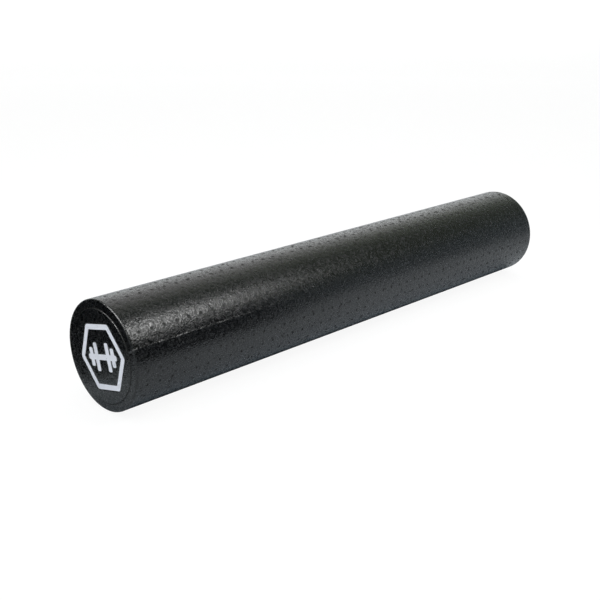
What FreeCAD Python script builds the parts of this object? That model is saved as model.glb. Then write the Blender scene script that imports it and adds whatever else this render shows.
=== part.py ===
import FreeCAD, Part
import math
import os

# Foam roller: one solid bar of moulded bead foam, with a film mark pressed into its front end.
# The roller lies on its side along Y. Its lowest line touches Z = 0 and its middle is at Y = 0.
# Its front end, which carries the mark, faces -Y. All lengths are millimetres, angles degrees.

# Barrel
BARREL_DIAMETER = 150.0
ROLLER_LENGTH = 900.0
RIM_RADIUS = 3.0            # rounding between the barrel and each end

# Raised disc that the mould's round end plate leaves on each end
END_BORDER = 11.7           # width of the lower ring between the barrel's side and the disc
END_DISC_HEIGHT = 0.8
END_DISC_FLANK = 0.5        # how far the disc's sloping edge runs inwards

# Moulding seam, where the mould's two long halves meet
SEAM_ANGLE = 21.4           # from +X towards +Z; the second seam is opposite
SEAM_WIDTH = 0.8
SEAM_HEIGHT = 0.3

# Steam vent marks, small round pits on a square grid
VENTS_AROUND = 24           # places around the whole barrel, which also set the pitch along it
VENT_DIAMETER = 3.0
VENT_DEPTH = 0.5
VENT_END_CLEARANCE = 15.0   # least distance from a pit's centre to the end of the roller
UPPER_FIRST_ROW = 15.0      # angle from the seam to the upper half's first row
LOWER_FIRST_ROW = 24.0      # angle from the seam to the lower half's first row
LAST_ROW_CLEARANCE = 15.0   # least angle from a half's last row to the other seam

# Film mark on the front end: a six-sided frame around a plain dumbbell sign
FILM_THICKNESS = 0.2
MARK_OFFSET = 4.0           # the mark's centre lies this far to +X of the roller's axis
MARK_TILT = 13.0            # turned from +X towards +Z
MARK_EDGE_CLEARANCE = 9.3   # from the frame's corner to the disc's edge
FRAME_STROKE = 7.0
FRAME_CORNER_RADIUS = 6.0
FRAME_INNER_CORNER_RADIUS = 2.5
SIGN_CLEARANCE = 10.0       # from the frame's inner corner to the end of the sign's bar
BAR_HEIGHT = 7.5
BAR_CORNER_RADIUS = 2.5
BAR_STUB = 4.0              # how far the bar stands out past the outer weight
WEIGHT_WIDTH = 8.0
WEIGHT_GAP = 3.0
OUTER_WEIGHT_HEIGHT = 25.0
INNER_WEIGHT_HEIGHT = 38.0
WEIGHT_CORNER_RADIUS = 2.5

# Sizes that follow from the ones above
BARREL_RADIUS = BARREL_DIAMETER / 2
HALF_LENGTH = ROLLER_LENGTH / 2
RING_Y = HALF_LENGTH - END_DISC_HEIGHT
DISC_RADIUS = BARREL_RADIUS - END_BORDER
VENT_PITCH = math.pi * BARREL_DIAMETER / VENTS_AROUND
VENT_STEP = 360.0 / VENTS_AROUND
MARK_RADIUS = DISC_RADIUS - MARK_OFFSET - MARK_EDGE_CLEARANCE
FRAME_INNER_RADIUS = MARK_RADIUS - FRAME_STROKE / math.cos(math.radians(30))

ORIGIN = FreeCAD.Vector(0, 0, 0)
X_AXIS = FreeCAD.Vector(1, 0, 0)
Y_AXIS = FreeCAD.Vector(0, 1, 0)
AXIS_CENTRE = FreeCAD.Vector(0, 0, BARREL_RADIUS)
CUT_OVERLAP = 1.0           # how far a cutting tool starts outside the surface that it cuts


def point(x, y, z=0.0):
    return FreeCAD.Vector(x, y, z)


def line(start, end):
    return Part.LineSegment(start, end).toShape()


def quarter_arc(start, centre, end):
    """Arc from start to end about centre, as an edge."""
    middle = (start - centre) + (end - centre)
    middle.normalize()
    return Part.Arc(start, centre + middle * (start - centre).Length, end).toShape()


def end_outline(side):
    """Edges of one end's half section, from the axis to the start of the barrel's side."""
    disc_centre = point(0, side * HALF_LENGTH)
    disc_edge = point(DISC_RADIUS - END_DISC_FLANK, side * HALF_LENGTH)
    ring_inner = point(DISC_RADIUS, side * RING_Y)
    ring_outer = point(BARREL_RADIUS - RIM_RADIUS, side * RING_Y)
    rim_centre = point(BARREL_RADIUS - RIM_RADIUS, side * (RING_Y - RIM_RADIUS))
    side_start = point(BARREL_RADIUS, side * (RING_Y - RIM_RADIUS))
    return [
        line(disc_centre, disc_edge),
        line(disc_edge, ring_inner),
        line(ring_inner, ring_outer),
        quarter_arc(ring_outer, rim_centre, side_start),
    ]


def barrel():
    """The plain round bar with its raised end discs, as one turned solid about Y."""
    front = end_outline(-1)
    back = end_outline(1)
    side_y = RING_Y - RIM_RADIUS
    side_edge = line(point(BARREL_RADIUS, -side_y), point(BARREL_RADIUS, side_y))
    axis_edge = line(point(0, HALF_LENGTH), point(0, -HALF_LENGTH))
    section = Part.Wire(front + [side_edge] + back[::-1] + [axis_edge])
    return Part.Face(section).revolve(ORIGIN, Y_AXIS, 360)


def seam_ridge():
    """A thin plate through the whole bar that stands proud of its side, rims and end rings."""
    half_width = BARREL_RADIUS + SEAM_HEIGHT
    half_length = RING_Y + SEAM_HEIGHT
    plate = Part.makeBox(
        2 * half_width,
        2 * half_length,
        SEAM_WIDTH,
        point(-half_width, -half_length, -SEAM_WIDTH / 2),
    )
    upright = [edge for edge in plate.Edges if is_along(edge, point(0, 0, 1))]
    plate = plate.makeFillet(RIM_RADIUS + SEAM_HEIGHT, upright)
    plate.rotate(ORIGIN, Y_AXIS, -SEAM_ANGLE)
    return plate


def is_along(edge, direction):
    """Whether a straight edge runs along the given unit direction."""
    run = edge.Vertexes[-1].Point - edge.Vertexes[0].Point
    return math.isclose(abs(run.dot(direction)), edge.Length, rel_tol=1e-6)


def half_rows(first, sense):
    """Angles of one mould half's vent rows, counted from the near seam in the given sense."""
    count = int((180.0 - LAST_ROW_CLEARANCE - first) / VENT_STEP) + 1
    return [SEAM_ANGLE + sense * (first + row * VENT_STEP) for row in range(count)]


def vent_pits():
    """One short round cutter for each steam vent mark, pointing at the roller's axis."""
    columns = int((ROLLER_LENGTH - 2 * VENT_END_CLEARANCE) / VENT_PITCH) + 1
    first_y = -(columns - 1) * VENT_PITCH / 2
    pits = []
    for angle in half_rows(UPPER_FIRST_ROW, 1) + half_rows(LOWER_FIRST_ROW, -1):
        outward = point(math.cos(math.radians(angle)), 0, math.sin(math.radians(angle)))
        floor = outward * (BARREL_RADIUS - VENT_DEPTH)
        for column in range(columns):
            base = floor + Y_AXIS * (first_y + column * VENT_PITCH)
            pits.append(Part.makeCylinder(VENT_DIAMETER / 2, VENT_DEPTH + CUT_OVERLAP, base, outward))
    return pits


def rounded_prism(corners, radius):
    """A film-thick prism of an outline on the front end, with its corners rounded."""
    outline = [point(x, -HALF_LENGTH, z) for x, z in corners]
    face = Part.Face(Part.makePolygon(outline + outline[:1]))
    prism = face.extrude(Y_AXIS * FILM_THICKNESS)
    upright = [edge for edge in prism.Edges if is_along(edge, Y_AXIS)]
    return prism.makeFillet(radius, upright)


def hexagon(radius):
    """Corners of a regular hexagon with two corners on the mark's long axis."""
    angles = [math.radians(60 * corner) for corner in range(6)]
    return [(radius * math.cos(angle), radius * math.sin(angle)) for angle in angles]


def rectangle(centre_x, width, height):
    """Corners of a rectangle whose centre is on the mark's long axis."""
    left = centre_x - width / 2
    right = centre_x + width / 2
    return [(left, -height / 2), (right, -height / 2), (right, height / 2), (left, height / 2)]


def place_mark(shape):
    """Turn a film shape to the mark's tilt and move it to the mark's centre."""
    shape.rotate(ORIGIN, Y_AXIS, -MARK_TILT)
    shape.translate(X_AXIS * MARK_OFFSET)
    return shape


def film_frame():
    """The six-sided frame of the mark."""
    outer = rounded_prism(hexagon(MARK_RADIUS), FRAME_CORNER_RADIUS)
    inner = rounded_prism(hexagon(FRAME_INNER_RADIUS), FRAME_INNER_CORNER_RADIUS)
    return place_mark(outer.cut(inner))


def film_sign():
    """The dumbbell sign inside the frame: a bar through two pairs of weights."""
    bar_half = FRAME_INNER_RADIUS - SIGN_CLEARANCE
    outer_x = bar_half - BAR_STUB - WEIGHT_WIDTH / 2
    inner_x = outer_x - WEIGHT_WIDTH - WEIGHT_GAP
    sign = rounded_prism(rectangle(0, 2 * bar_half, BAR_HEIGHT), BAR_CORNER_RADIUS)
    for sense in (-1, 1):
        outer = rectangle(sense * outer_x, WEIGHT_WIDTH, OUTER_WEIGHT_HEIGHT)
        inner = rectangle(sense * inner_x, WEIGHT_WIDTH, INNER_WEIGHT_HEIGHT)
        sign = sign.fuse(rounded_prism(outer, WEIGHT_CORNER_RADIUS))
        sign = sign.fuse(rounded_prism(inner, WEIGHT_CORNER_RADIUS))
    return place_mark(sign.removeSplitter())


def foam_body(film):
    """The moulded bar with its seam, vent pits and the shallow bed that the film fills."""
    body = barrel().fuse(seam_ridge())
    body = body.cut(Part.makeCompound(vent_pits()))
    for piece in film:
        body = body.cut(piece)
    return body


def main():
    os.makedirs("parts", exist_ok=True)
    frame = film_frame()
    sign = film_sign()
    nodes = {
        "foam_body": foam_body([frame, sign]),
        "print_frame": frame,
        "print_sign": sign,
    }
    for name, shape in nodes.items():
        shape.translate(AXIS_CENTRE)
        shape.exportStep(f"parts/{name}.step")
        print(f"{name}: {len(shape.Solids)} solid, valid {shape.isValid()}, {shape.Volume:.1f} mm3")


main()
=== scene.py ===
"""Foam roller: a bar of moulded bead foam with a film mark pressed into its front end.

The bar lies along Y on the floor at Z = 0, and its marked end faces -Y. Meshes are worked out in
millimetres and stored in metres. Each piece is a class that holds its sizes, builds its mesh and
dresses it with its finish.
"""

import logging
import math
from dataclasses import dataclass, field
from enum import Enum, IntEnum

import bmesh
import bpy
import numpy as np
from mathutils import Euler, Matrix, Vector
from mathutils.geometry import delaunay_2d_cdt


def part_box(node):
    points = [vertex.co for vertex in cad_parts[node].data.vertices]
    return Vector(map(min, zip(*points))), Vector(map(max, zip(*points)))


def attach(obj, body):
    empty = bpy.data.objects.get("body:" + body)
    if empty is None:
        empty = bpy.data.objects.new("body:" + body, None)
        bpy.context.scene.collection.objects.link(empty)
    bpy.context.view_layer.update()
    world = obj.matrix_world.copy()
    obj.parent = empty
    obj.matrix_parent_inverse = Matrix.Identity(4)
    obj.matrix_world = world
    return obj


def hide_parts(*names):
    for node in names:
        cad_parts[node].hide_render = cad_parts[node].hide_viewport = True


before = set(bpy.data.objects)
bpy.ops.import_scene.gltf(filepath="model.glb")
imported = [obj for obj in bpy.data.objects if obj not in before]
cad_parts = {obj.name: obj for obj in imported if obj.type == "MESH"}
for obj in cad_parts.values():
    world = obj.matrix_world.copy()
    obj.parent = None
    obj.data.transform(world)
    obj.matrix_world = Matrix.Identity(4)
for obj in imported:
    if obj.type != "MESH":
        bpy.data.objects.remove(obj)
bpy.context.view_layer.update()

MM = 0.001
BODY = "root"
LOG = logging.getLogger("foam_roller")

Point = tuple[float, float, float]
Colour = tuple[float, float, float, float]
Pair = tuple[float, float]
Socket = bpy.types.NodeSocket


class Slot(Enum):
    """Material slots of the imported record."""

    FOAM = "black_bead_foam"
    FILM = "white_print_film"


class End(Enum):
    """The roller's two ends, by their direction along Y."""

    FRONT = -1
    REAR = 1


class Seed(IntEnum):
    """Seeds of the random draws; a draw for one end adds the end's direction to its seed."""

    OUTLINE = 7
    BARREL = 11
    BARREL_BEADS = 23
    RIM = 31
    RING_BEADS = 41
    DISC_BEADS = 53


# --------------------------------------------------------------------------- meshes


class MeshDraft:
    """Collects points and triangles in millimetres, then turns them into a Blender object."""

    WHOLE_HULL = 0  # the kind of triangulation that covers the points' whole hull
    MERGE_GAP = 1e-7  # points nearer than this many millimetres are joined

    def __init__(self) -> None:
        """Start with no points."""
        self.points: list[np.ndarray] = []
        self.hollow: list[np.ndarray] = []
        self.triangles: list[np.ndarray] = []
        self.creases: list[np.ndarray] = []
        self.count = 0

    def add(self, points: np.ndarray, hollow: np.ndarray | float = 0.0) -> np.ndarray:
        """Add points.

        Args:
            points: Places in millimetres, one row each.
            hollow: How deep in a pit each point lies, from 0 to 1; the finishes paint shade by it.

        Returns:
            The new points' indices.
        """
        index = np.arange(self.count, self.count + len(points))
        self.points.append(points)
        self.hollow.append(np.broadcast_to(np.asarray(hollow, float), len(points)))
        self.count += len(points)
        return index

    def fill(
        self,
        flat: np.ndarray,
        index: np.ndarray,
        edges: list[tuple[int, int]] | None = None,
        keep: "Outline | None" = None,
    ) -> None:
        """Join points of a flat patch with Delaunay triangles.

        Args:
            flat: The points' places in the patch's own plane.
            index: The draft index of each point; one index may come twice where a patch closes.
            edges: Pairs of rows of flat that have to be joined.
            keep: If given, only triangles inside this outline are kept.
        """
        places = [Vector(p) for p in flat.tolist()]
        made = delaunay_2d_cdt(places, edges or [], [], self.WHOLE_HULL, self.MERGE_GAP)
        source = np.array([rows[0] for rows in made[3]])
        corners = source[np.array(made[2])]
        if keep is not None:
            corners = corners[keep.contains(flat[corners].mean(axis=1))]
        self.triangles.append(index[corners])

    def crease(self, ring: np.ndarray) -> None:
        """Keep the edges round a closed ring of points sharp when the mesh is shaded smooth."""
        self.creases.append(np.column_stack((ring, np.roll(ring, -1))))

    def bridge(self, first: np.ndarray, second: np.ndarray) -> None:
        """Join two closed rings of points with a band of triangles.

        Args:
            first: The first ring's indices.
            second: The second ring's, as many and in step with the first.
        """
        first_next, second_next = np.roll(first, -1), np.roll(second, -1)
        self.triangles.append(np.column_stack((first, first_next, second_next)))
        self.triangles.append(np.column_stack((first, second_next, second)))

    def build(self, name: str) -> bpy.types.Object:
        """Make the object.

        Args:
            name: The piece's name.

        Returns:
            The object, linked to the scene, smooth and with its faces turned outwards.
        """
        points = np.concatenate(self.points) * MM
        faces = np.concatenate(self.triangles)
        mesh = bpy.data.meshes.new(name)
        mesh.from_pydata(points.tolist(), [], faces.tolist())
        work = bmesh.new()
        work.from_mesh(mesh)
        bmesh.ops.recalc_face_normals(work, faces=work.faces)
        work.to_mesh(mesh)
        work.free()
        mesh.polygons.foreach_set("use_smooth", np.ones(len(mesh.polygons), bool))
        ends = np.empty(2 * len(mesh.edges), int)
        mesh.edges.foreach_get("vertices", ends)
        crease_codes = self.edge_codes(np.concatenate(self.creases))
        is_sharp = np.isin(self.edge_codes(ends.reshape(-1, 2)), crease_codes)
        sharp = mesh.attributes.new("sharp_edge", "BOOLEAN", "EDGE")
        sharp.data.foreach_set("value", is_sharp)
        layer = mesh.attributes.new("hollow", "FLOAT", "POINT")
        layer.data.foreach_set("value", np.concatenate(self.hollow).astype(np.float32))
        mesh.validate()
        piece = bpy.data.objects.new(name, mesh)
        bpy.context.scene.collection.objects.link(piece)
        return piece

    def edge_codes(self, ends: np.ndarray) -> np.ndarray:
        """One number for each edge, the same in both directions."""
        return ends.min(axis=1) * self.count + ends.max(axis=1)


class Outline:
    """Closed loops of points in a plane, such as the edge of a film shape with its holes."""

    PROBE = 0.02  # how far beside a loop, in millimetres, it is looked up which side is inside

    def __init__(self, loops: list[np.ndarray]) -> None:
        """Keep the loops."""
        self.loops = loops

    @property
    def all_points(self) -> np.ndarray:
        """Every loop's points in one array."""
        return np.concatenate(self.loops)

    def contains(self, points: np.ndarray) -> np.ndarray:
        """Find which points lie inside, by counting the edges to their right.

        Args:
            points: Places in the plane, one row each.

        Returns:
            Whether each point is inside.
        """
        inside = np.zeros(len(points), bool)
        for loop in self.loops:
            for start, end in zip(loop, np.roll(loop, -1, axis=0)):
                crosses = (start[1] > points[:, 1]) != (end[1] > points[:, 1])
                if not crosses.any():
                    continue
                run = (points[crosses, 1] - start[1]) / (end[1] - start[1])
                left = points[crosses, 0] < start[0] + run * (end[0] - start[0])
                rows = np.flatnonzero(crosses)[left]
                inside[rows] = ~inside[rows]
        return inside

    def is_near(self, points: np.ndarray, distance: float) -> np.ndarray:
        """Whether each point lies within a distance of any point of the loops."""
        gaps = points[:, None, :] - self.all_points[None, :, :]
        return (gaps**2).sum(axis=2).min(axis=1) < distance**2

    def grown(self, distance: float) -> "Outline":
        """Make the outline wider.

        Args:
            distance: How far the loops move away from the inside; if negative, towards it.

        Returns:
            The moved outline.
        """
        moved = []
        for loop in self.loops:
            along = np.roll(loop, -1, axis=0) - np.roll(loop, 1, axis=0)
            normal = np.column_stack((along[:, 1], -along[:, 0]))
            normal /= np.linalg.norm(normal, axis=1)[:, None]
            into = self.contains(loop + normal * self.PROBE).mean() > 0.5
            moved.append(loop + normal * (-distance if into else distance))
        return Outline(moved)

    def edges(self, first: int) -> list[tuple[int, int]]:
        """Pair up the points that are neighbours along the loops.

        Args:
            first: The row at which the outline's points start.

        Returns:
            Pairs of rows.
        """
        pairs: list[tuple[int, int]] = []
        for loop in self.loops:
            rows = list(range(first, first + len(loop)))
            pairs += list(zip(rows, rows[1:] + rows[:1]))
            first += len(loop)
        return pairs


def film_outline(
    node: str, spacing: float = 1.0, shake: float = 0.02, flatness: float = 0.01
) -> Outline:
    """Read the outline of a CAD film node's front face.

    Args:
        node: The CAD node's name.
        spacing: The longest step between two points of the outline, in millimetres.
        shake: Spread, in millimetres, of the small moves that keep points from lying in line.
        flatness: How far behind the foremost point, in millimetres, the front face may reach.

    Returns:
        The outline in X and Z, in millimetres.
    """
    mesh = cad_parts[node].data
    places = np.array([v.co for v in mesh.vertices], float) / MM
    back_limit = places[:, 1].min() + flatness
    keys = [tuple(place) for place in np.round(places, 3)]
    used: set[tuple] = set()
    for face in mesh.polygons:
        corners = [keys[i] for i in face.vertices]
        if max(corner[1] for corner in corners) <= back_limit:
            used.update(zip(corners, corners[1:] + corners[:1]))
    rim = {a: b for a, b in used if (b, a) not in used}
    draw = np.random.default_rng(Seed.OUTLINE)
    loops = []
    while rim:
        here = min(rim)
        loop = []
        while here in rim:
            loop.append((here[0], here[2]))
            here = rim.pop(here)
        smooth = resampled(np.array(loop), spacing)
        loops.append(smooth + draw.normal(0, shake, smooth.shape))
    return Outline(loops)


def resampled(loop: np.ndarray, spacing: float, crowding: float = 0.25) -> np.ndarray:
    """Divide a closed loop's long edges, and leave out points that crowd each other.

    Args:
        loop: The loop's points.
        spacing: The longest step between two points.
        crowding: The shortest step, as a share of the spacing.

    Returns:
        The new loop's points.
    """
    kept = [loop[0]]
    for place in loop[1:]:
        if np.linalg.norm(place - kept[-1]) > crowding * spacing:
            kept.append(place)
    points = []
    for start, end in zip(kept, kept[1:] + kept[:1]):
        steps = max(1, math.ceil(np.linalg.norm(end - start) / spacing))
        points += [start + (end - start) * k / steps for k in range(steps)]
    return np.array(points)


def declare(piece: bpy.types.Object, finish: bpy.types.Material, node: str) -> None:
    """Give a piece its finish, and tell the frame what it is.

    Args:
        piece: The piece.
        finish: Its material.
        node: The CAD node that it stands for.
    """
    piece.data.materials.append(finish)
    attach(piece, BODY)
    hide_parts(node)
    LOG.info("%s: %d triangles", piece.name, len(piece.data.polygons))


# --------------------------------------------------------------------------- bead relief


@dataclass(frozen=True)
class BeadLattice:
    """Fused beads: a shaken hexagonal lattice of crowns with the shared corners between them.

    Sizes are millimetres, and shake is a share of the pitch. A few corners are open pinholes.
    """

    pitch: float = 4.5
    shake: float = 0.17
    crown: float = -0.03
    crown_spread: float = 0.02
    corner: float = -0.09
    corner_spread: float = 0.035
    pin_share: float = 0.05
    pin_depth: float = 0.65
    # pin_hollow: how much painted shade a pinhole gets, through the hollow attribute
    pin_hollow: float = 0.9
    corner_hollow: float = 0.12

    def spread(self, low: Pair, high: Pair, seed: int) -> tuple[np.ndarray, np.ndarray, np.ndarray]:
        """Cover a rectangle with beads.

        Args:
            low: The rectangle's lowest corner.
            high: Its highest corner.
            seed: Seed of the random draws.

        Returns:
            The points, their heights, and how hollow each is.
        """
        draw = np.random.default_rng(seed)
        row_step = self.pitch * math.sqrt(3) / 2
        columns = math.ceil((high[0] - low[0]) / self.pitch) + 3
        rows = math.ceil((high[1] - low[1]) / row_step) + 3
        shift = (np.arange(rows) % 2)[:, None]
        across = (np.arange(columns)[None, :] - 1 + 0.5 * shift) * self.pitch + low[0]
        up = np.broadcast_to((np.arange(rows)[:, None] - 1) * row_step + low[1], across.shape)
        beads = np.stack((across, up), axis=2)
        beads = beads + draw.uniform(-self.shake, self.shake, beads.shape) * self.pitch
        corners = []
        for row in range(rows):
            left, right = beads[row, :-1], beads[row, 1:]
            for other in (row - 1, row + 1):
                if 0 <= other < rows:
                    start = row % 2
                    apex = beads[other, start : start + columns - 1]
                    count = min(len(apex), len(left))
                    corners.append((left[:count] + right[:count] + apex[:count]) / 3)
        crowns = beads.reshape(-1, 2)
        pits = np.concatenate(corners)
        crown_height = self.crown + draw.normal(0, self.crown_spread, len(crowns))
        corner_height = self.corner + draw.normal(0, self.corner_spread, len(pits))
        is_pin = draw.random(len(pits)) < self.pin_share
        corner_height[is_pin] = -self.pin_depth
        points = np.concatenate((crowns, pits))
        heights = np.concatenate((np.minimum(crown_height, 0.0), corner_height))
        corner_hollow = np.where(is_pin, self.pin_hollow, self.corner_hollow)
        hollow = np.concatenate((np.zeros(len(crowns)), corner_hollow))
        return points, heights, hollow


# --------------------------------------------------------------------------- foam bar


class Patch:
    """Points of one patch, laid out flat, that are joined with triangles in one go."""

    def __init__(self, draft: MeshDraft, turn: float = 0.0) -> None:
        """Start with no points, in a patch that closes on itself after a full turn, if given."""
        self.draft = draft
        self.turn = turn
        self.flats: list[np.ndarray] = []
        self.indices: list[np.ndarray] = []

    @property
    def count(self) -> int:
        """How many rows the patch has."""
        return sum(len(flat) for flat in self.flats)

    def add(self, flat: np.ndarray, index: np.ndarray) -> None:
        """Add points by their flat places and their draft indices."""
        self.flats.append(flat)
        self.indices.append(index)

    def add_ring(self, arcs: np.ndarray, level: float, index: np.ndarray) -> None:
        """Add a closed ring at one level; its first point comes again after the full turn."""
        flat = np.column_stack((np.append(arcs, self.turn), np.full(len(arcs) + 1, level)))
        self.add(flat, np.append(index, index[0]))

    def add_line(self, arc: float, levels: np.ndarray, index: np.ndarray) -> None:
        """Add a line at one arc length; one at 0 comes again after the full turn."""
        for place in (arc, self.turn) if arc == 0.0 else (arc,):
            self.add(np.column_stack((np.full(len(levels), place), levels)), index)

    def fill(self, edges: list[tuple[int, int]] | None = None) -> None:
        """Join the points, with the given pairs of rows as edges."""
        self.draft.fill(np.concatenate(self.flats), np.concatenate(self.indices), edges)


@dataclass
class FoamBar:
    """The bar: a beaded barrel with vent marks and two seams, round rims, and a disc on each end.

    Sizes are millimetres, angles are degrees, and shares are of the size that they name.
    """

    radius: float
    half_length: float
    outlines: list[Outline]
    skin_drop: float = 0.05
    rim_radius: float = 3.0
    rim_steps: int = 5
    rim_shake: Pair = (-0.06, 0.03)
    ring_steps: int = 5
    ring_edge_gap: float = 1.2
    ring_seam_gap: float = 1.9
    disc_radius: float = 63.3
    disc_height: float = 0.8
    disc_flank: float = 0.5
    # disc_foot_hollow: painted shade in the crease at the disc's foot, through the hollow attribute
    disc_foot_hollow: float = 0.9
    disc_drop: float = 0.03
    disc_edge_width: float = 0.5
    disc_edge_gap: float = 1.8
    seam_angle: float = 21.4
    seam_foot: float = 0.4
    seam_top: float = 0.15
    seam_height: float = 0.3
    seam_gap: float = 1.7
    seam_wave: Pair = (0.3, 0.85)
    seam_wave_end: float = 460.0
    seam_wave_points: int = 93
    seam_worn_places: tuple[float, ...] = (-450.0, -330.0, -210.0, 450.0)
    seam_worn_shares: tuple[float, ...] = (0.5, 0.6, 0.2, 0.15)
    seam_rim_share: float = 0.7
    seam_ring_share: float = 0.6
    seam_foot_share: float = 0.5
    vents_around: int = 24
    vent_radius: float = 1.5
    vent_round: float = 0.7
    vent_rim_share: float = 0.12
    # vent_rim_hollow: painted shade in a ring round each vent mark, through the hollow attribute
    vent_rim_hollow: float = 0.6
    vent_size_draw: Pair = (0.9, 1.1)
    lower_vent_share: float = 0.8
    vent_floor_radius: float = 1.45
    vent_depth: float = 0.5
    vent_depth_draw: Pair = (0.85, 1.0)
    vent_middle_share: float = 1.05
    vent_sides: int = 8
    vent_gap: float = 1.6
    vent_end_clearance: float = 15.0
    upper_first_row: float = 15.0
    lower_first_row: float = 24.0
    last_row_clearance: float = 15.0
    film_bed: float = 0.2
    film_gap: float = 0.08
    film_bead_gap: float = 0.9
    barrel_edge_gap: float = 1.4
    station: float = 2.3
    beads: BeadLattice = field(default_factory=BeadLattice)
    draft: MeshDraft = field(default_factory=MeshDraft)

    def dress(self, piece: bpy.types.Object, finish: bpy.types.Material) -> None:
        """Give the bar its finish."""
        declare(piece, finish, "foam_body")

    @property
    def ring_y(self) -> float:
        """Distance of the lower end ring from the roller's middle."""
        return self.half_length - self.disc_height

    @property
    def side_y(self) -> float:
        """Distance from the middle to where the rim's rounding starts."""
        return self.ring_y - self.rim_radius

    @property
    def half_turn(self) -> float:
        """Arc length of half of the barrel."""
        return math.pi * self.radius

    @property
    def turn(self) -> float:
        """Arc length of the whole barrel."""
        return 2 * self.half_turn

    def ring(self) -> tuple[np.ndarray, np.ndarray]:
        """The places that every ring round the bar shares.

        Returns:
            Arc lengths from the middle of the seam underneath, and the share of the seam's height
            at each.
        """
        foot, top, half = self.seam_foot, self.seam_top, self.half_turn
        steps = round((half - 2 * foot) / self.station)
        between = np.linspace(foot, half - foot, steps + 1)[1:-1]
        first = np.concatenate(([0, top, foot], between, [half - foot, half - top]))
        lift = np.zeros(len(first))
        lift[[0, 1, -1]] = 1.0
        return np.concatenate((first, first + half)), np.concatenate((lift, lift))

    def seam_lines(self) -> list[Pair]:
        """Lay out the lines that run along the seams.

        Returns:
            Arc length and share of the seam's height of each line.
        """
        foot, top, half = self.seam_foot, self.seam_top, self.half_turn
        offsets = ((0.0, 1.0), (top, 1.0), (foot, 0.0), (-top, 1.0), (-foot, 0.0))
        lines = [(half + offset, share) for offset, share in offsets]
        return lines + [(offset % self.turn, share) for offset, share in offsets]

    def to_space(self, arc: np.ndarray, y: np.ndarray, reach: np.ndarray) -> np.ndarray:
        """Wrap points round the roller's axis.

        Args:
            arc: Arc length of each point, from the seam underneath.
            y: Its place along Y.
            reach: Its distance to the axis.

        Returns:
            Places in space.
        """
        angle = math.radians(self.seam_angle + 180.0) + arc / self.radius
        return np.column_stack(
            (
                reach * np.cos(angle),
                np.broadcast_to(y, angle.shape),
                self.radius + reach * np.sin(angle),
            )
        )

    def vent_places(self) -> np.ndarray:
        """Lay out the steam vent marks.

        Returns:
            Arc length and place along Y of each mark's middle.
        """
        step = 360.0 / self.vents_around
        pitch = self.turn / self.vents_around
        columns = int((2 * self.half_length - 2 * self.vent_end_clearance) / pitch) + 1
        along = (np.arange(columns) - (columns - 1) / 2) * pitch
        turns = []
        for first, sense in ((self.upper_first_row, 1), (self.lower_first_row, -1)):
            rows = int((180.0 - self.last_row_clearance - first) / step) + 1
            turns += [(180.0 + sense * (first + row * step)) % 360.0 for row in range(rows)]
        arcs = np.radians(np.array(turns)) * self.radius
        return np.array([(arc, y) for arc in arcs for y in along])

    def build(self) -> bpy.types.Object:
        """Build the closed mesh of the bar.

        Returns:
            The bar's object.
        """
        edge_rings = self.add_barrel()
        for end in End:
            ring = self.add_rim(end, edge_rings[end])
            ring = self.add_end_ring(end, ring)
            self.add_disc(end, ring)
        return self.draft.build("foam_bar")

    def add_barrel(self) -> dict[End, np.ndarray]:
        """Add the barrel's side.

        Returns:
            The ring of points at each end of it.
        """
        draw = np.random.default_rng(Seed.BARREL)
        arcs, lifts = self.ring()
        steps = round(2 * self.side_y / self.station)
        stations = np.linspace(-self.side_y, self.side_y, steps + 1)[1:-1]
        wave_places = np.linspace(-self.seam_wave_end, self.seam_wave_end, self.seam_wave_points)
        wave = np.interp(stations, wave_places, draw.uniform(*self.seam_wave, self.seam_wave_points))
        wave *= np.interp(stations, self.seam_worn_places, self.seam_worn_shares)
        patch, rings = Patch(self.draft, self.turn), {}
        for end in End:
            y = end.value * self.side_y
            reach = self.radius + self.seam_rim_share * self.seam_height * lifts - self.skin_drop
            rings[end] = self.draft.add(self.to_space(arcs, np.array(y), reach))
            patch.add_ring(arcs, y, rings[end])
        for arc, share in self.seam_lines():
            reach = self.radius - self.skin_drop + self.seam_height * share * wave
            index = self.draft.add(self.to_space(np.full(len(stations), arc), stations, reach))
            patch.add_line(arc, stations, index)
        vents = self.vent_places()
        low, high = (0, -self.side_y), (self.turn, self.side_y)
        flat, height, hollow = self.beads.spread(low, high, Seed.BARREL_BEADS)
        clear = self.is_clear(flat[:, 0], self.seam_gap)
        clear &= np.abs(flat[:, 1]) < self.side_y - self.barrel_edge_gap
        clear &= self.far_from(flat, vents, self.vent_radius + self.vent_gap)
        flat, reach = flat[clear], self.radius + height[clear]
        patch.add(flat, self.draft.add(self.to_space(flat[:, 0], flat[:, 1], reach), hollow[clear]))
        for flat, depth, mark in self.vent_rings(vents, draw):
            index = self.draft.add(self.to_space(flat[:, 0], flat[:, 1], self.radius - depth), mark)
            patch.add(flat, index)
            if len(flat) > len(vents):
                for ring in index.reshape(len(vents), -1):
                    self.draft.crease(ring)
        patch.fill()
        return rings

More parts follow.
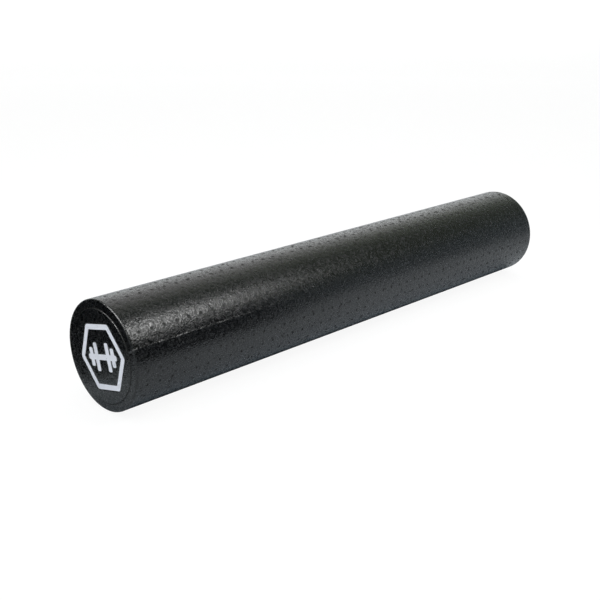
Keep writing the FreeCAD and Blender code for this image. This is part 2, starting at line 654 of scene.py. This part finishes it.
    def vent_rings(
        self, vents: np.ndarray, draw: np.random.Generator
    ) -> list[tuple[np.ndarray, np.ndarray, float]]:
        """Points of all the steam vent marks.

        Args:
            vents: The marks' middles.
            draw: Source of the random draws.

        Returns:
            For the rim, the floor's edge and the floor's middle: points, depths and hollowness.
        """
        angles = np.arange(self.vent_sides) * 2 * math.pi / self.vent_sides
        circle = np.column_stack((np.cos(angles), np.sin(angles)))
        depth = self.vent_depth * draw.uniform(*self.vent_depth_draw, len(vents))
        is_lower = vents[:, 0] < self.half_turn
        size = draw.uniform(*self.vent_size_draw, len(vents))
        grown = (size * np.where(is_lower, self.lower_vent_share, 1.0))[:, None, None]
        rings = []
        for radius, share, mark in (
            (self.vent_radius + self.vent_round, self.vent_rim_share, self.vent_rim_hollow),
            (self.vent_floor_radius, 1.0, 1.0),
        ):
            places = vents[:, None, :] + circle[None, :, :] * radius * grown
            depths = np.repeat(depth * share, self.vent_sides)
            rings.append((places.reshape(-1, 2), depths, mark))
        rings.append((vents, depth * self.vent_middle_share, 1.0))
        return rings

    def is_clear(self, arcs: np.ndarray, gap: float) -> np.ndarray:
        """Find which arc lengths are at least a gap away from both seams.

        Args:
            arcs: Arc lengths.
            gap: The least distance to a seam's middle.

        Returns:
            Whether each is clear.
        """
        off = np.abs((arcs + self.half_turn / 2) % self.half_turn - self.half_turn / 2)
        inside = (arcs > 0) & (arcs < self.turn)
        return inside & (off > gap)

    @staticmethod
    def far_from(points: np.ndarray, marks: np.ndarray, gap: float) -> np.ndarray:
        """Find which points are at least a gap away from every mark.

        Args:
            points: Arc length and place along Y of each point.
            marks: The same of each mark's middle.
            gap: The least distance.

        Returns:
            Whether each point is clear.
        """
        clear = np.ones(len(points), bool)
        for column in np.unique(marks[:, 1]):
            rows = np.flatnonzero(np.abs(points[:, 1] - column) < gap)
            across = marks[marks[:, 1] == column, 0]
            away = np.abs(points[rows, 0][:, None] - across[None, :]).min(axis=1)
            clear[rows] &= np.hypot(away, points[rows, 1] - column) >= gap
        return clear

    def add_rim(self, end: End, ring: np.ndarray) -> np.ndarray:
        """Round the barrel's edge over to the end ring.

        Args:
            end: Which end.
            ring: The ring of points at the barrel's edge.

        Returns:
            The ring where the flat end ring starts.
        """
        draw = np.random.default_rng(Seed.RIM + end.value)
        arcs, lifts = self.ring()
        for step in range(1, self.rim_steps + 1):
            angle = math.radians(90.0 * step / self.rim_steps)
            out = self.rim_radius - self.skin_drop + self.seam_rim_share * self.seam_height * lifts
            out = out + draw.uniform(*self.rim_shake, len(arcs)) * (lifts == 0)
            reach = self.radius - self.rim_radius + out * math.cos(angle)
            along = end.value * (self.side_y + out * math.sin(angle))
            inner = self.draft.add(self.to_space(arcs, along, reach))
            self.draft.bridge(ring, inner)
            ring = inner
        return ring

    def add_end_ring(self, end: End, ring: np.ndarray) -> np.ndarray:
        """Add the flat ring between the rim and the disc.

        Args:
            end: Which end.
            ring: The ring of points at the rim's inner edge.

        Returns:
            The ring at the foot of the disc.
        """
        arcs, lifts = self.ring()
        outer, inner = self.radius - self.rim_radius, self.disc_radius
        scale = (outer + inner) / 2 / self.radius
        patch = Patch(self.draft, self.turn * scale)

        def place(arc: np.ndarray, reach: np.ndarray, rise: np.ndarray) -> np.ndarray:
            """Places in space of points on the ring, raised by their rise."""
            return self.to_space(arc, end.value * (self.ring_y - self.skin_drop + rise), reach)

        rise = self.seam_foot_share * self.seam_height * lifts
        inside = self.draft.add(place(arcs, np.full(len(arcs), inner), rise), self.disc_foot_hollow)
        patch.add_ring(arcs * scale, outer, ring)
        patch.add_ring(arcs * scale, inner, inside)
        steps = np.linspace(inner, outer, self.ring_steps)[1:-1]
        for arc, share in self.seam_lines():
            rise = np.full(len(steps), self.seam_ring_share * self.seam_height * share)
            index = self.draft.add(place(np.full(len(steps), arc), steps, rise))
            patch.add_line(arc * scale, steps, index)
        low, high = (0, inner), (patch.turn, outer)
        flat, height, hollow = self.beads.spread(low, high, Seed.RING_BEADS + end.value)
        clear = self.is_clear(flat[:, 0] / scale, self.ring_seam_gap)
        clear &= (flat[:, 1] > inner + self.ring_edge_gap) & (flat[:, 1] < outer - self.ring_edge_gap)
        flat, rise = flat[clear], height[clear] + self.skin_drop
        patch.add(flat, self.draft.add(place(flat[:, 0] / scale, flat[:, 1], rise), hollow[clear]))
        patch.fill()
        return inside

    def add_disc(self, end: End, ring: np.ndarray) -> None:
        """Close an end with its raised disc, with the film's bed in the front one.

        Args:
            end: Which end.
            ring: The ring of points at the foot of the disc.
        """
        arcs, _ = self.ring()
        edge_radius = self.disc_radius - self.disc_flank
        level = np.array(end.value * (self.half_length - self.disc_drop))
        edge = self.draft.add(self.to_space(arcs, level, np.full(len(arcs), edge_radius)))
        self.draft.bridge(ring, edge)
        self.draft.crease(ring)
        self.draft.crease(edge)
        support = self.to_space(arcs, level, np.full(len(arcs), edge_radius - self.disc_edge_width))
        support_index = self.draft.add(support)
        self.draft.bridge(edge, support_index)
        patch, edges = Patch(self.draft), []
        patch.add(support[:, [0, 2]], support_index)
        flat, height, hollow = disc_beads(self.beads, self.radius, end)
        clear = np.hypot(flat[:, 0], flat[:, 1] - self.radius) < edge_radius - self.disc_edge_gap
        if end is End.FRONT:
            for outline in self.outlines:
                clear &= ~outline.is_near(flat, self.film_bead_gap)
                bedded = outline.contains(flat)
                height = np.where(bedded, -self.film_bed, height)
                hollow = np.where(bedded, 0.0, hollow)
                beds = ((outline.grown(self.film_gap), self.disc_drop), (outline, self.film_bed))
                for border, depth in beds:
                    edges += border.edges(patch.count)
                    flat_border = border.all_points
                    patch.add(flat_border, self.draft.add(self.on_disc(flat_border, -depth, end)))
        flat, height = flat[clear], height[clear]
        patch.add(flat, self.draft.add(self.on_disc(flat, height, end), hollow[clear]))
        patch.fill(edges)

    def on_disc(self, flat: np.ndarray, height: np.ndarray | float, end: End) -> np.ndarray:
        """Places in space of points on an end disc, raised by their height."""
        along = end.value * (self.half_length + np.broadcast_to(height, len(flat)))
        return np.column_stack((flat[:, 0], along, flat[:, 1]))


def disc_beads(
    beads: BeadLattice, radius: float, end: End
) -> tuple[np.ndarray, np.ndarray, np.ndarray]:
    """Beads of an end disc, which the film on it copies.

    Args:
        beads: The lattice.
        radius: The bar's radius, which is also the height of its axis.
        end: Which end.

    Returns:
        The beads' points in X and Z, their heights, and how hollow each is.
    """
    return beads.spread((-radius, 0.0), (radius, 2 * radius), Seed.DISC_BEADS + end.value)


# --------------------------------------------------------------------------- film mark


@dataclass
class FilmPiece:
    """A piece of pressed film: flat behind, softly copying the beads in front; in millimetres."""

    name: str
    node: str
    outline: Outline
    bar: FoamBar
    thickness: float = 0.2
    edge_drop: float = 0.02
    edge_roll: float = 0.3
    stand: float = 0.02
    relief: float = 0.4
    roll_bead_gap: float = 0.8

    def build(self) -> bpy.types.Object:
        """Build the closed mesh of the film piece.

        Returns:
            The film piece's object.
        """
        draft = MeshDraft()
        flat, height, hollow = disc_beads(self.bar.beads, self.bar.radius, End.FRONT)
        inner = self.outline.grown(-self.edge_roll)
        clear = self.outline.contains(flat) & ~inner.is_near(flat, self.roll_bead_gap)
        clear &= ~self.outline.is_near(flat, self.bar.film_bead_gap)
        flat, height, hollow = flat[clear], height[clear], hollow[clear]
        face = np.concatenate((self.outline.all_points, inner.all_points, flat))
        count, roll = len(self.outline.all_points), len(inner.all_points)
        levels = np.concatenate(
            (
                np.full(count, -self.edge_drop),
                np.full(roll, self.stand),
                self.stand + self.relief * height,
            )
        )
        # hollow marks, from which the film's finish paints shade into its dents
        marks = np.concatenate((np.zeros(count + roll), hollow))
        edges = self.outline.edges(0) + inner.edges(count)
        top = draft.add(self.bar.on_disc(face, levels, End.FRONT), marks)
        draft.fill(face, top, edges, self.outline)
        back_face = self.outline.all_points
        back = draft.add(self.bar.on_disc(back_face, -self.thickness, End.FRONT))
        draft.fill(back_face, back, self.outline.edges(0), self.outline)
        start = 0
        for loop in self.outline.loops:
            stop = start + len(loop)
            draft.bridge(top[start:stop], back[start:stop])
            draft.crease(top[start:stop])
            draft.crease(back[start:stop])
            start = stop
        return draft.build(self.name)

    def dress(self, piece: bpy.types.Object, finish: bpy.types.Material) -> None:
        """Give the film piece its finish."""
        declare(piece, finish, self.node)


# --------------------------------------------------------------------------- finishes


class NodeDraft:
    """Adds shader nodes to a tree, with their inputs set or linked in the same call."""

    def __init__(self, tree: bpy.types.NodeTree) -> None:
        """Keep the tree."""
        self.tree = tree

    def add(self, kind: str, inputs: dict | None = None, **settings: object) -> bpy.types.Node:
        """Add a node.

        Args:
            kind: The node's type, without its ShaderNode prefix.
            inputs: Value or source socket of each input, by name or number.
            settings: The node's own properties.

        Returns:
            The node.
        """
        node = self.tree.nodes.new("ShaderNode" + kind)
        for name, value in settings.items():
            setattr(node, name, value)
        for key, value in (inputs or {}).items():
            if isinstance(value, Socket):
                self.tree.links.new(value, node.inputs[key])
            else:
                node.inputs[key].default_value = value
        return node

    def math(self, operation: str, *values: object, clamp: bool = False) -> Socket:
        """The result of a Math node on some values."""
        node = self.add("Math", dict(enumerate(values)), operation=operation, use_clamp=clamp)
        return node.outputs[0]

    def span(self, value: object, given: Pair, start: float = 0.0, stop: float = 1.0) -> Socket:
        """Map a value's range smoothly to another one.

        Args:
            value: The value's socket.
            given: The range's two ends.
            start: The result at the first end.
            stop: The result at the second end.

        Returns:
            The result.
        """
        inputs = {"Value": value, "From Min": given[0], "From Max": given[1]}
        inputs.update({"To Min": start, "To Max": stop})
        return self.add("MapRange", inputs, interpolation_type="SMOOTHSTEP").outputs[0]

    def blend(self, factor: object, first: object, second: object) -> Socket:
        """A mix of two colours."""
        return self.add("Mix", {0: factor, 6: first, 7: second}, data_type="RGBA").outputs[2]


def new_group(name: str, inputs: dict[str, float], outputs: tuple[str, ...]) -> NodeDraft:
    """Start a shader node group.

    Args:
        name: The group's name.
        inputs: Name and default of each input.
        outputs: The outputs' names.

    Returns:
        A draft of the group's tree.
    """
    tree = bpy.data.node_groups.new(name, "ShaderNodeTree")
    for label, default in inputs.items():
        socket = tree.interface.new_socket(label, in_out="INPUT", socket_type="NodeSocketFloat")
        socket.default_value = default
    for label in outputs:
        tree.interface.new_socket(label, in_out="OUTPUT", socket_type="NodeSocketFloat")
    return NodeDraft(tree)


def close_group(draft: NodeDraft, results: dict[str, Socket]) -> bpy.types.NodeTree:
    """Link a group's results to its outputs.

    Args:
        draft: A draft of the group's tree.
        results: The socket of each output.

    Returns:
        The tree.
    """
    out = draft.tree.nodes.new("NodeGroupOutput")
    for label, socket in results.items():
        draft.tree.links.new(socket, out.inputs[label])
    return draft.tree


@dataclass(frozen=True)
class BeadSkin:
    """Effect of fused beads: domes, the lines between them, open pores and each bead's own tone.

    Reaches are shares of a bead's spacing, or of the pore's size, and depths are shares of a dome's.
    """

    dome_reach: float = 0.75
    line_reach: float = 0.09
    line_depth: float = 0.25
    pore_reach: Pair = (0.45, 1.0)
    pore_depth: float = 1.2

    def group(self) -> bpy.types.NodeTree:
        """Build the shader node group.

        Returns:
            The group.
        """
        draft = new_group(
            "bead_skin",
            {"Beads per Metre": 400.0, "Pores per Metre": 150.0, "Pore Size": 0.12},
            ("Height", "Tone", "Pore", "Line"),
        )
        given = draft.tree.nodes.new("NodeGroupInput").outputs
        place = draft.add("TexCoord").outputs["Object"]
        beads = {"Vector": place, "Scale": given["Beads per Metre"]}
        cell = draft.add("TexVoronoi", beads).outputs
        border = draft.add("TexVoronoi", beads, feature="DISTANCE_TO_EDGE").outputs
        pores = draft.add("TexVoronoi", {"Vector": place, "Scale": given["Pores per Metre"]}).outputs
        tone = draft.add("SeparateColor", {0: cell["Color"]}).outputs[0]
        dome = draft.span(cell["Distance"], (0.0, self.dome_reach), 1.0, 0.0)
        line = draft.span(border["Distance"], (0.0, self.line_reach), 1.0, 0.0)
        pore = draft.math("DIVIDE", pores["Distance"], given["Pore Size"])
        pore = draft.span(pore, self.pore_reach, 1.0, 0.0)
        height = draft.math("SUBTRACT", dome, draft.math("MULTIPLY", line, self.line_depth))
        height = draft.math("SUBTRACT", height, draft.math("MULTIPLY", pore, self.pore_depth))
        return close_group(draft, {"Height": height, "Tone": tone, "Pore": pore, "Line": line})


@dataclass(frozen=True)
class Handling:
    """Effect of moulding and handling: uneven gloss in soft clouds and faint rubbed streaks."""

    cloud: Pair = (0.3, 0.7)
    streak: Pair = (0.6, 0.78)
    streak_stretch: Point = (1.0, 0.12, 1.0)
    streak_slant: Point = (0.0, 0.0, 0.1)

    def group(self) -> bpy.types.NodeTree:
        """Build the shader node group.

        Returns:
            The group.
        """
        defaults = {"Clouds per Metre": 14.0, "Streaks per Metre": 60.0}
        draft = new_group("handling", defaults, ("Cloud", "Streak"))
        given = draft.tree.nodes.new("NodeGroupInput").outputs
        place = draft.add("TexCoord").outputs["Object"]
        drawn = {"Vector": place, "Scale": self.streak_stretch, "Rotation": self.streak_slant}
        drawn = draft.add("Mapping", drawn).outputs[0]
        cloud = {"Vector": place, "Scale": given["Clouds per Metre"], "Detail": 3.0, "Roughness": 0.55}
        streak = {"Vector": drawn, "Scale": given["Streaks per Metre"], "Detail": 5.0, "Roughness": 0.7}
        results = {
            "Cloud": draft.span(draft.add("TexNoise", cloud).outputs[0], self.cloud),
            "Streak": draft.span(draft.add("TexNoise", streak).outputs[0], self.streak),
        }
        return close_group(draft, results)


class Effects:
    """The shared effects, each built once and placed in any material."""

    def __init__(self) -> None:
        """Build the groups."""
        self.bead_skin = BeadSkin().group()
        self.handling = Handling().group()

    @staticmethod
    def place(draft: NodeDraft, tree: bpy.types.NodeTree, **values: float) -> bpy.types.bpy_prop_collection:
        """Place an effect in a material.

        Args:
            draft: A draft of the material's tree.
            tree: The effect's group.
            values: The material's own values, by the inputs' names.

        Returns:
            The effect's outputs.
        """
        node = draft.tree.nodes.new("ShaderNodeGroup")
        node.node_tree = tree
        for label, value in values.items():
            node.inputs[label.replace("_", " ")].default_value = value
        return node.outputs


def new_material(name: str) -> tuple[bpy.types.Material, NodeDraft, bpy.types.Node]:
    """Start a material.

    Args:
        name: The material's name.

    Returns:
        The material, a draft of its tree, and its Material Output.
    """
    material = bpy.data.materials.new(name)
    material.use_nodes = True
    material.node_tree.nodes.clear()
    draft = NodeDraft(material.node_tree)
    return material, draft, draft.add("OutputMaterial")


@dataclass(frozen=True)
class BeadFoamFinish:
    """Black bead foam: dark skin with a soft sheen, paler bead crowns, and near-black painted shade in its
    pits and pores.
    """

    dark: Colour = (0.0012, 0.0014, 0.0018, 1.0)
    pale: Colour = (0.0045, 0.005, 0.006, 1.0)
    rubbed: Colour = (0.014, 0.014, 0.014, 1.0)
    # pit: near-black colour that paints shade into the pits, pinholes, vent marks, the disc's foot and the
    # pores
    pit: Colour = (0.0012, 0.0012, 0.0014, 1.0)
    smooth: float = 0.13
    rough: float = 0.33
    pit_rough: float = 0.75
    bump: float = 1.0
    bump_reach: float = 0.000145
    sinking: Pair = (0.25, 0.85)
    rub_share: float = 0.35
    cloud_share: float = 0.25
    gloss: Pair = (0.1, 0.9)

    def material(self, effects: Effects) -> bpy.types.Material:
        """Build the material.

        Args:
            effects: The shared effects.

        Returns:
            The material.
        """
        material, draft, out = new_material("black_bead_foam")
        skin = effects.place(draft, effects.bead_skin, Beads_per_Metre=450.0, Pores_per_Metre=170.0)
        wear = effects.place(draft, effects.handling)
        hollow = draft.add("Attribute", attribute_name="hollow").outputs["Fac"]
        # painted shade and a rougher skin where the hollow attribute or the pores mark a recess
        pit_shade_and_rough = draft.math("MAXIMUM", draft.span(hollow, self.sinking), skin["Pore"])
        colour = draft.blend(skin["Tone"], self.dark, self.pale)
        rubbed = draft.math("MULTIPLY", wear["Streak"], self.rub_share)
        colour = draft.blend(rubbed, colour, self.rubbed)
        # painted shade: the colour goes near-black in the hollows and pores
        colour = draft.blend(pit_shade_and_rough, colour, self.pit)
        tone = draft.math("MULTIPLY", skin["Tone"], 1.0 - self.cloud_share)
        gloss = draft.math("MULTIPLY_ADD", wear["Cloud"], self.cloud_share, tone)
        rough = draft.span(gloss, self.gloss, self.smooth, self.rough)
        added = draft.math("MULTIPLY", pit_shade_and_rough, self.pit_rough - self.rough)
        rough = draft.math("ADD", rough, added, clamp=True)
        relief = {"Strength": self.bump, "Distance": self.bump_reach, "Height": skin["Height"]}
        bump = draft.add("Bump", relief)
        shader = draft.add(
            "BsdfPrincipled",
            {"Base Color": colour, "Roughness": rough, "IOR": 1.49, "Normal": bump.outputs[0]},
        )
        draft.tree.links.new(shader.outputs[0], out.inputs[0])
        return material


@dataclass(frozen=True)
class PrintFilmFinish:
    """White heat-pressed film with a faint cool tint, thinner over the lines between the beads, and painted
    shade in its dents and pores.
    """

    white: Colour = (0.70, 0.71, 0.80, 1.0)
    thin: Colour = (0.52, 0.53, 0.60, 1.0)
    # speck: grey colour that paints shade into the film's dents over pinholes and into its pores
    speck_shade: Colour = (0.33, 0.33, 0.37, 1.0)
    smooth: float = 0.42
    rough: float = 0.6
    bump: float = 0.3
    bump_reach: float = 0.00006
    sinking: Pair = (0.5, 0.9)
    speck_shade_share: float = 0.8
    line_share: float = 0.35

    def material(self, effects: Effects) -> bpy.types.Material:
        """Build the material.

        Args:
            effects: The shared effects.

        Returns:
            The material.
        """
        material, draft, out = new_material("white_print_film")
        skin = effects.place(draft, effects.bead_skin, Beads_per_Metre=430.0, Pore_Size=0.06)
        wear = effects.place(draft, effects.handling, Clouds_per_Metre=40.0)
        hollow = draft.add("Attribute", attribute_name="hollow").outputs["Fac"]
        # painted shade: the film greys in its deepest dents and in the pores
        deep = draft.span(hollow, self.sinking, 0.0, self.speck_shade_share)
        deep = draft.math("MAXIMUM", deep, skin["Pore"])
        colour = draft.blend(draft.math("MULTIPLY", skin["Line"], self.line_share), self.white, self.thin)
        colour = draft.blend(deep, colour, self.speck_shade)
        rough = draft.span(wear["Cloud"], (0.0, 1.0), self.smooth, self.rough)
        relief = {"Strength": self.bump, "Distance": self.bump_reach, "Height": skin["Height"]}
        bump = draft.add("Bump", relief)
        shader = draft.add(
            "BsdfPrincipled",
            {"Base Color": colour, "Roughness": rough, "IOR": 1.5, "Normal": bump.outputs[0]},
        )
        draft.tree.links.new(shader.outputs[0], out.inputs[0])
        return material


# --------------------------------------------------------------------------- studio


class Reach(Enum):
    """What a studio light acts on."""

    SURFACES = "lights surfaces without showing in reflections"
    REFLECTIONS = "shows only in reflections"
    BOTH = "lights surfaces and shows in reflections"


def facing(place: Point, aim: Point, axis: str) -> Euler:
    """The turn that points an object's axis from its place to its aim, with its Y upwards."""
    return (Vector(aim) - Vector(place)).to_track_quat(axis, "Y").to_euler()


@dataclass(frozen=True)
class SoftLight:
    """A rectangular light: its place, the point that it faces, its width and height, its watts."""

    name: str
    place: Point
    aim: Point
    size: Pair
    power: float
    reach: Reach

    def add(self) -> None:
        """Add the light to the scene."""
        data = bpy.data.lights.new(self.name, "AREA")
        data.shape = "RECTANGLE"
        data.size, data.size_y = self.size
        data.energy = self.power
        light = bpy.data.objects.new(self.name, data)
        light.location = self.place
        light.rotation_euler = facing(self.place, self.aim, "-Z")
        light.visible_camera = False
        light.visible_glossy = self.reach is not Reach.SURFACES
        light.visible_diffuse = self.reach is not Reach.REFLECTIONS
        bpy.context.scene.collection.objects.link(light)


@dataclass(frozen=True)
class Card:
    """A flat card that only reflections see: its middle, the point that it faces, size and glow."""

    name: str
    place: Point
    aim: Point
    size: Pair
    glow: float
    tint: Colour = (0.9, 0.95, 1.0, 1.0)

    def add(self) -> None:
        """Add the card to the scene."""
        x, y = self.size[0] / 2, self.size[1] / 2
        mesh = bpy.data.meshes.new(self.name)
        mesh.from_pydata([(-x, -y, 0), (x, -y, 0), (x, y, 0), (-x, y, 0)], [], [(0, 1, 2, 3)])
        card = bpy.data.objects.new(self.name, mesh)
        card.location = self.place
        card.rotation_euler = facing(self.place, self.aim, "Z")
        material, draft, out = new_material(self.name)
        shine = draft.add("Emission", {"Color": self.tint, "Strength": self.glow})
        draft.tree.links.new(shine.outputs[0], out.inputs[0])
        mesh.materials.append(material)
        card.visible_camera = False
        card.visible_diffuse = False
        card.visible_shadow = False
        card.visible_transmission = False
        bpy.context.scene.collection.objects.link(card)


@dataclass(frozen=True)
class PaleFloorFinish:
    """Pale paper with a bright sweep far behind and to the left.

    The camera sees it as almost even white, and reflections see it a little darker and bluer.
    """

    paper: Colour = (0.86, 0.875, 0.9, 1.0)
    sweep: Colour = (1.0, 0.995, 0.98, 1.0)
    sweep_glow: float = 1.5
    sweep_x: Pair = (-3.0, 0.3)
    sweep_y: Pair = (-1.0, 1.5)
    sweep_z: Pair = (0.0, 0.5)
    shade: Colour = (0.0, 0.07, 0.15, 1.0)
    shade_share: float = 0.36
    white: Colour = (1.0, 1.0, 1.0, 1.0)
    white_glow: float = 1.02
    white_share: float = 0.90

    def material(self) -> bpy.types.Material:
        """Build the material.

        Returns:
            The material.
        """
        material, draft, out = new_material("pale_floor")
        place = draft.add("SeparateXYZ", {0: draft.add("NewGeometry").outputs["Position"]}).outputs
        left = draft.span(place[0], self.sweep_x, 1.0, 0.0)
        side = draft.math("MULTIPLY", left, draft.span(place[1], self.sweep_y))
        glow = draft.math("MULTIPLY", side, draft.span(place[2], self.sweep_z))
        glow = draft.math("MULTIPLY", glow, self.sweep_glow)
        paper = draft.add("BsdfDiffuse", {"Color": self.paper})
        bright = draft.add("Emission", {"Color": self.sweep, "Strength": glow})
        lit = draft.add("AddShader", {0: paper.outputs[0], 1: bright.outputs[0]})
        shade = draft.add("Emission", {"Color": self.shade, "Strength": 1.0})
        white = draft.add("Emission", {"Color": self.white, "Strength": self.white_glow})
        ray = draft.add("LightPath").outputs
        dimming = draft.math("MULTIPLY", ray["Is Glossy Ray"], self.shade_share)
        dimmed = draft.add("MixShader", {0: dimming, 1: lit.outputs[0], 2: shade.outputs[0]})
        whiting = draft.math("MULTIPLY", ray["Is Camera Ray"], self.white_share)
        mixed = draft.add("MixShader", {0: whiting, 1: dimmed.outputs[0], 2: white.outputs[0]})
        draft.tree.links.new(mixed.outputs[0], out.inputs[0])
        return material


@dataclass(frozen=True)
class RoomLight:
    """Dim room light that loses its green tint with height, and a bright side, left and behind."""

    low: Colour = (0.19, 0.22, 0.13, 1.0)
    high: Colour = (0.185, 0.207, 0.203, 1.0)
    rise: Pair = (0.45, 0.9)
    side_edge: Colour = (0.62, 0.76, 0.42, 1.0)
    side_middle: Colour = (1.08, 1.06, 1.06, 1.0)
    side_x: Pair = (-0.6, 0.05)
    side_y: Pair = (-0.1, 0.3)

    def add(self) -> None:
        """Make the room light the scene's world."""
        world = bpy.data.worlds.new("studio_room")
        bpy.context.scene.world = world
        world.use_nodes = True
        world.node_tree.nodes.clear()
        draft = NodeDraft(world.node_tree)
        toward = draft.add("SeparateXYZ", {0: draft.add("TexCoord").outputs["Generated"]}).outputs
        dim = draft.blend(draft.span(toward[2], self.rise), self.low, self.high)
        left = draft.span(toward[0], self.side_x, 1.0, 0.0)
        side = draft.math("MULTIPLY", left, draft.span(toward[1], self.side_y))
        colour = draft.blend(side, dim, draft.blend(side, self.side_edge, self.side_middle))
        back = draft.add("Background", {"Color": colour, "Strength": 1.0})
        draft.tree.links.new(back.outputs[0], draft.add("OutputWorld").inputs[0])


NEAR_END = (0.0, -0.45, 0.1)
FRONT_RIM = (0.0, -0.45, 0.12)

LIGHTS = (
    SoftLight("top_light", (0.0, 0.0, 3.0), (0.0, 0.0, 0.0), (3.2, 3.2), 78.0, Reach.SURFACES),
    SoftLight("front_fill", (-0.4, -1.95, 1.55), NEAR_END, (1.2, 0.8), 9.0, Reach.SURFACES),
    SoftLight("rim_light", (-0.1, -1.38, 1.7), FRONT_RIM, (1.6, 0.7), 60.0, Reach.REFLECTIONS),
    SoftLight("softbox", (0.68, 0.15, 0.97), (0.05, -0.38, 0.12), (0.47, 0.34), 7.2, Reach.BOTH),
)

CARDS = (
    Card("side_card", (0.42, -0.21, 0.11), (0.07, -0.42, 0.09), (0.50, 0.42), 0.02),
    Card("front_card", (-0.79, -1.04, 0.004), (-0.79, -1.04, 1.0), (1.42, 1.13), 0.005),
    Card("under_card", (0.0, 0.0, -0.0003), (0.0, 0.0, 1.0), (0.07, 0.89), 0.004),
    Card("left_card", (-1.4, -1.3, 0.6), NEAR_END, (2.4, 1.3), 0.005),
)


@dataclass(frozen=True)
class Floor:
    """A turned sheet that curves up into a low wall; in metres, and the cove's step in degrees."""

    level: float = -0.0006
    rings: tuple[float, ...] = (0.3, 1.2, 2.6)
    radius: float = 4.2
    cove_radius: float = 0.9
    cove_step: int = 6
    wall_top: float = 2.3
    sides: int = 96

    def profile(self) -> list[Pair]:
        """Reach and height of each ring of the floor's points, from the middle outwards."""
        points = [(reach, self.level) for reach in self.rings]
        for angle in map(math.radians, range(0, 91, self.cove_step)):
            reach = self.radius + self.cove_radius * math.sin(angle)
            points.append((reach, self.level + self.cove_radius * (1 - math.cos(angle))))
        return points + [(self.radius + self.cove_radius, self.wall_top)]

    def add(self) -> None:
        """Add the floor to the scene."""
        work = bmesh.new()
        middle = work.verts.new((0, 0, self.level))
        turns = np.linspace(0, 2 * math.pi, self.sides + 1)[:-1]
        rings = [
            [work.verts.new((reach * math.cos(turn), reach * math.sin(turn), z)) for turn in turns]
            for reach, z in self.profile()
        ]
        ahead = [ring[1:] + ring[:1] for ring in rings]
        for near, far in zip(rings[0], ahead[0]):
            work.faces.new((middle, near, far))
        for k in range(len(rings) - 1):
            for corners in zip(rings[k], rings[k + 1], ahead[k + 1], ahead[k]):
                work.faces.new(corners)
        mesh = bpy.data.meshes.new("floor")
        work.to_mesh(mesh)
        work.free()
        mesh.polygons.foreach_set("use_smooth", np.ones(len(mesh.polygons), bool))
        floor = bpy.data.objects.new("floor", mesh)
        bpy.context.scene.collection.objects.link(floor)
        mesh.materials.append(PaleFloorFinish().material())


@dataclass(frozen=True)
class Camera:
    """The camera: its place and aim in metres, its lens and sensor in millimetres."""

    place: Point = (0.94465, -1.04925, 0.52118)
    aim: Point = (-0.0377, -0.0513, 0.0452)
    lens: float = 55.575
    sensor: float = 36.0
    sight: float = 50.0

    def add(self) -> None:
        """Add the camera to the scene and make it the one in use."""
        data = bpy.data.cameras.new("camera")
        data.lens = self.lens
        data.sensor_width = self.sensor
        data.clip_end = self.sight
        camera = bpy.data.objects.new("camera", data)
        camera.location = self.place
        camera.rotation_euler = facing(self.place, self.aim, "-Z")
        bpy.context.scene.collection.objects.link(camera)
        bpy.context.scene.camera = camera
        bpy.context.scene.view_settings.view_transform = "Standard"


# --------------------------------------------------------------------------- assembly


def main() -> None:
    """Build the roller's pieces and the studio round them."""
    logging.basicConfig(level=logging.INFO, format="%(name)s %(message)s")
    _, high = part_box("foam_body")
    radius, half_length = high.z / 2 / MM, high.y / MM
    frame_outline = film_outline("print_frame")
    sign_outline = film_outline("print_sign")
    effects = Effects()
    foam = BeadFoamFinish().material(effects)
    film = PrintFilmFinish().material(effects)

    bar = FoamBar(radius, half_length, [frame_outline, sign_outline])
    bar.dress(bar.build(), foam)
    for mark in (
        FilmPiece("film_frame", "print_frame", frame_outline, bar),
        FilmPiece("film_sign", "print_sign", sign_outline, bar),
    ):
        mark.dress(mark.build(), film)
    for fitting in (Floor(), RoomLight(), *LIGHTS, *CARDS, Camera()):
        fitting.add()


if __name__ == "__main__":
    main()
